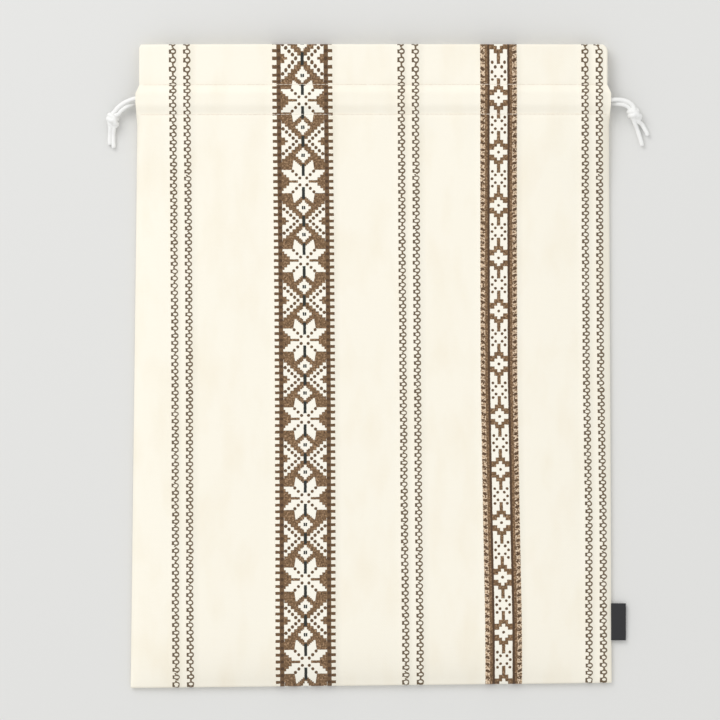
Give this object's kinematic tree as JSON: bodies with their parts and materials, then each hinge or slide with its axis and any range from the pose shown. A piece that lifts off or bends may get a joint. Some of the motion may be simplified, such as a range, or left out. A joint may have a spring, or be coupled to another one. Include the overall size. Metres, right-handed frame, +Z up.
{
  "type": "kinchaku drawstring pouch",
  "caption": "Soft woven pouch, lying flat, with star and chain bands, a cord casing under a standing header, knotted drawcords at both sides and a folded side tag.",
  "frame": {"origin": "middle of the underside of the pouch and its side tag, on the surface that it lies on", "axes": "+Y from the bottom fold to the mouth, +X to the right as the front is seen with its mouth up, +Z up out of the surface"},
  "size_m": [0.3409, 0.3998, 0.0155],
  "materials": {
    "woven_cotton": "matte cream cotton with brown and olive woven bands",
    "cotton_cord": "matte off-white braided cotton",
    "tag_ribbon": "fine black ribbon weave"
  },
  "bodies": {
    "root": {"pouch_cloth": "woven_cotton", "left_drawcord": "cotton_cord", "right_drawcord": "cotton_cord", "side_tag": "tag_ribbon"}
  },
  "joints": []
}
